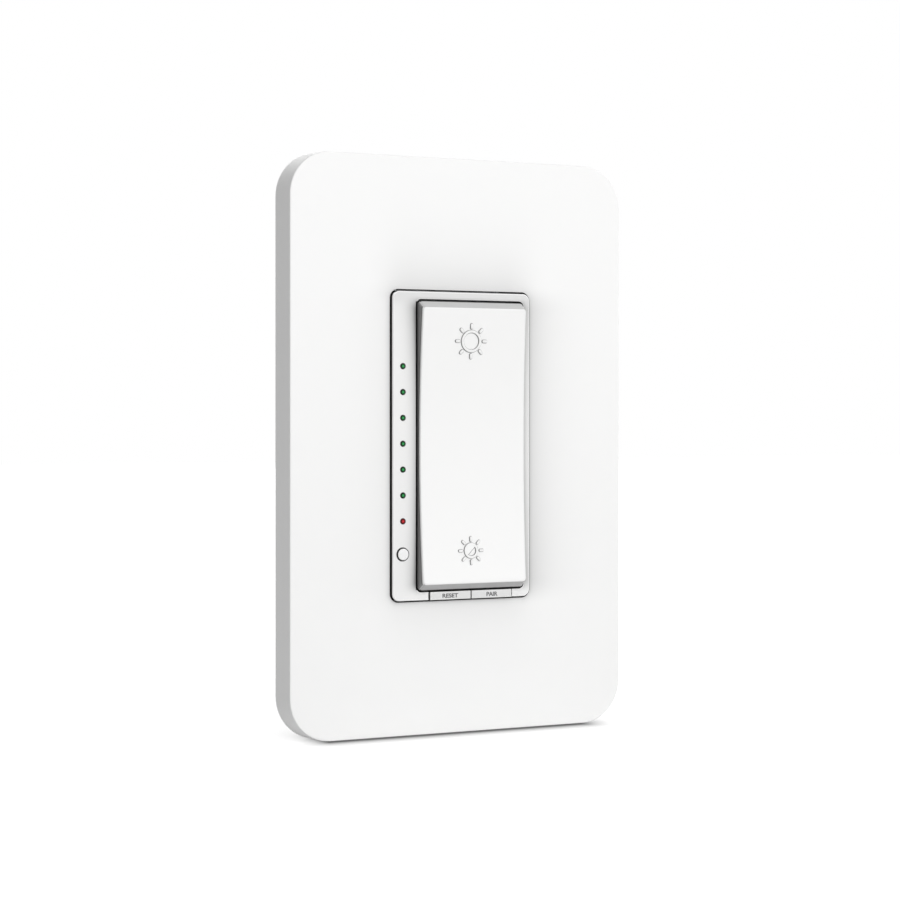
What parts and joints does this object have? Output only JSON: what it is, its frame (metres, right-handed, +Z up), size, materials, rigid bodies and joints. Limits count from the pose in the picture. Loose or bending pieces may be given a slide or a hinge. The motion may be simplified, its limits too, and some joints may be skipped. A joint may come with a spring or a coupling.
{
  "type": "smart dimmer switch",
  "caption": "White in-wall smart dimmer: screwless cover plate, tall concave rocker, column of indicator lights, round button and flat keys in a strip below.",
  "frame": {"origin": "midway between the two box screws, on the wall plane at the back of the mounting strap", "axes": "+Z up along the line of the box screws, -Y out of the wall towards the room, +Y into the wall box, +X to the right seen from the front"},
  "size_m": [0.081, 0.0463, 0.1254],
  "materials": {
    "cover_plastic": "white moulded thermoplastic, satin",
    "carrier_plastic": "white moulded thermoplastic, plain",
    "face_plastic": "white moulded polycarbonate, satin",
    "rocker_plastic": "white moulded polycarbonate, satin",
    "key_plastic": "white moulded polycarbonate, satin",
    "button_plastic": "white moulded polycarbonate, satin",
    "clear_guide": "clear moulded acrylic, polished",
    "green_light": "clear epoxy over a green chip",
    "red_light": "clear epoxy over a red chip",
    "deck_plastic": "black glass-filled plastic",
    "spring_steel": "bright spring strip",
    "zinc_steel": "zinc-plated steel",
    "green_steel": "green-dyed zinc plating",
    "strap_steel": "galvanised sheet",
    "housing_plastic": "black flame-retardant thermoplastic",
    "board_laminate": "glass-epoxy laminate with green mask",
    "black_component": "black moulding compound",
    "shield_metal": "tinned shield can",
    "bare_aluminium": "mill finish",
    "pad_rubber": "grey silicone sheet",
    "core_ferrite": "ferrite with yellow tape",
    "wound_copper": "enamelled copper wire",
    "capacitor_can": "sleeved aluminium can",
    "film_case": "yellow moulded case",
    "varistor_coat": "blue epoxy coat",
    "fuse_tube": "glass tube with nickel caps",
    "terminal_brass": "bare brass"
  },
  "bodies": {
    "body": {"bezel": "face_plastic", "box_screws": "zinc_steel", "bulk_capacitor": "capacitor_can", "clamp_plates": "terminal_brass", "control_board": "board_laminate", "down_switch": "black_component", "film_capacitor": "film_case", "fuse": "fuse_tube", "green_leds": "green_light", "ground_screw": "green_steel", "heat_sink": "bare_aluminium", "housing_screws": "zinc_steel", "insulating_pads": "pad_rubber", "light_guide": "clear_guide", "line_choke": "wound_copper", "main_board": "board_laminate", "mounting_strap": "strap_steel", "pair_switch": "black_component", "power_transistors": "black_component", "program_switch": "black_component", "radio_module": "shield_metal", "rear_housing": "housing_plastic", "red_led": "red_light", "reset_switch": "black_component", "return_spring": "spring_steel", "riser_board": "board_laminate", "riser_headers": "black_component", "saddle_plates": "terminal_brass", "spring_screw": "zinc_steel", "sub_plate": "carrier_plastic", "sub_plate_screws": "zinc_steel", "supply_transformer": "core_ferrite", "switch_deck": "deck_plastic", "terminal_screws": "terminal_brass", "transistor_screws": "zinc_steel", "up_switch": "black_component", "varistor": "varistor_coat", "wall_plate": "cover_plastic"},
    "rocker": {"rocker": "rocker_plastic"},
    "reset_key": {"reset_key": "key_plastic"},
    "pair_key": {"pair_key": "key_plastic"},
    "program_button": {"program_button": "button_plastic"}
  },
  "joints": [
    {"name": "rocker_tilt", "type": "hinge", "parent": "body", "child": "rocker", "pos_m": [0, -0.005, 0], "axis": [1, 0, 0], "range_deg": [-2, 2], "stiffness_Nm_per_rad": 0.9, "deforming": ["return_spring"]},
    {"name": "reset_press", "type": "slide", "parent": "body", "child": "reset_key", "axis": [0, 1, 0], "range_m": [0, 0.0005], "stiffness_N_per_m": 1200, "springref_m": -0.0004},
    {"name": "pair_press", "type": "slide", "parent": "body", "child": "pair_key", "axis": [0, 1, 0], "range_m": [0, 0.0005], "stiffness_N_per_m": 1200, "springref_m": -0.0004},
    {"name": "program_press", "type": "slide", "parent": "body", "child": "program_button", "axis": [0, 1, 0], "range_m": [0, 0.0005], "stiffness_N_per_m": 1200, "springref_m": -0.0004}
  ]
}
